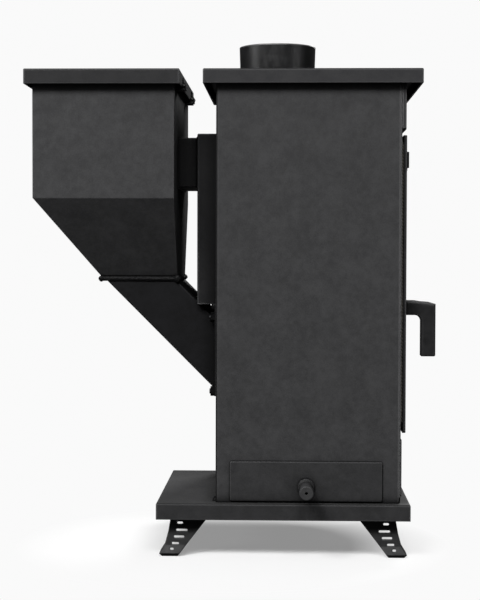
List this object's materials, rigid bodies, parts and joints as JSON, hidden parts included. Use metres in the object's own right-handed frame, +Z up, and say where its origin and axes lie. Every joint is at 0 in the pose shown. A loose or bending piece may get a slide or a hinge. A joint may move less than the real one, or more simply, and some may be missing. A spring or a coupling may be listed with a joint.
{
  "type": "pellet stove",
  "caption": "Gravity-fed pellet stove: folded steel body on flared slotted legs, rear hopper with hinged lid and sloping chute, glazed door, flue collar and side ash drawer.",
  "frame": {"origin": "on the floor, under the middle of the overall box", "axes": "+X from the hopper towards the door, +Y from the ash-drawer side to the door-hinge side, +Z up"},
  "size_m": [0.8006, 0.5084, 1.012],
  "materials": {
    "stove_paint": "matt heat-resistant black stove paint",
    "door_paint": "matt heat-resistant black stove paint",
    "plain_steel": "plain mild steel, dulled by heat",
    "fixing_steel": "blackened and zinc plated fixings",
    "handle_moulding": "satin black heat-resistant moulding",
    "knob_moulding": "satin black turned knob",
    "ceramic_glass": "clear heat-resistant ceramic glass",
    "rope_seal": "woven grey fibre seal",
    "gasket_fibre": "pressed fibre gasket",
    "grate_iron": "rough cast iron",
    "fire_brick": "pressed vermiculite board",
    "bush_brass": "plain turned bush"
  },
  "bodies": {
    "stove": {"base_pan": "stove_paint", "leg_rear_near": "stove_paint", "leg_rear_far": "stove_paint", "leg_front_near": "stove_paint", "leg_front_far": "stove_paint", "body_shell": "stove_paint", "base_welds": "stove_paint", "front_frame": "stove_paint", "header_rail": "stove_paint", "air_plate": "stove_paint", "air_guides": "stove_paint", "top_plate": "stove_paint", "flue_collar": "stove_paint", "hinge_frame_leaves": "door_paint", "latch_keeper": "plain_steel", "drawer_runners": "plain_steel", "hearth_plate": "plain_steel", "fire_grate": "grate_iron", "burn_pot": "grate_iron", "feed_slide": "plain_steel", "brick_near": "fire_brick", "brick_far": "fire_brick", "brick_rails": "plain_steel", "baffle_plate": "plain_steel", "baffle_bars": "plain_steel", "rear_channel": "stove_paint", "balance_duct": "stove_paint", "duct_welds": "stove_paint", "hopper_shell": "stove_paint", "lid_seal": "rope_seal", "lid_hinge_brackets": "stove_paint", "lid_hinge_pins": "fixing_steel", "outlet_band": "stove_paint", "hopper_chute": "stove_paint", "chute_flange": "stove_paint", "chute_gasket": "gasket_fibre", "chute_studs": "fixing_steel", "chute_nuts": "fixing_steel"},
    "door": {"door_leaf": "door_paint", "door_glass": "ceramic_glass", "glass_tape": "rope_seal", "glass_clips": "fixing_steel", "glass_screws": "fixing_steel", "door_seal": "rope_seal", "hinge_door_leaves": "door_paint", "wash_guides": "door_paint", "handle_bush": "bush_brass"},
    "handle": {"door_handle": "handle_moulding", "handle_spindle": "plain_steel", "latch_tongue": "plain_steel", "latch_nut": "fixing_steel"},
    "wash_strip": {"wash_slider": "fixing_steel"},
    "air_strip": {"air_slider": "fixing_steel"},
    "drawer": {"drawer_front": "stove_paint", "ash_tray": "plain_steel", "ash_tray_ends": "plain_steel", "drawer_knob": "knob_moulding"},
    "lid": {"hopper_lid": "stove_paint", "lid_hinge_leaves": "stove_paint"}
  },
  "joints": [
    {"name": "door_hinge", "type": "hinge", "parent": "stove", "child": "door", "pos_m": [0.3382, 0.2272, 0.53], "axis": [0, 0, 1], "range_deg": [0, 120]},
    {"name": "handle_turn", "type": "hinge", "parent": "door", "child": "handle", "pos_m": [0.3405, -0.1188, 0.484], "axis": [1, 0, 0], "range_deg": [0, 90]},
    {"name": "lid_hinge", "type": "hinge", "parent": "stove", "child": "lid", "pos_m": [-0.0944, 0.0342, 0.9204], "axis": [0, 1, 0], "range_deg": [0, 100]},
    {"name": "ash_drawer", "type": "slide", "parent": "stove", "child": "drawer", "axis": [0, -1, 0], "range_m": [0, 0.29]},
    {"name": "wash_slide", "type": "slide", "parent": "door", "child": "wash_strip", "axis": [0, 1, 0], "range_m": [0, 0.03]},
    {"name": "air_slide", "type": "slide", "parent": "stove", "child": "air_strip", "axis": [0, 1, 0], "range_m": [0, 0.028]}
  ]
}
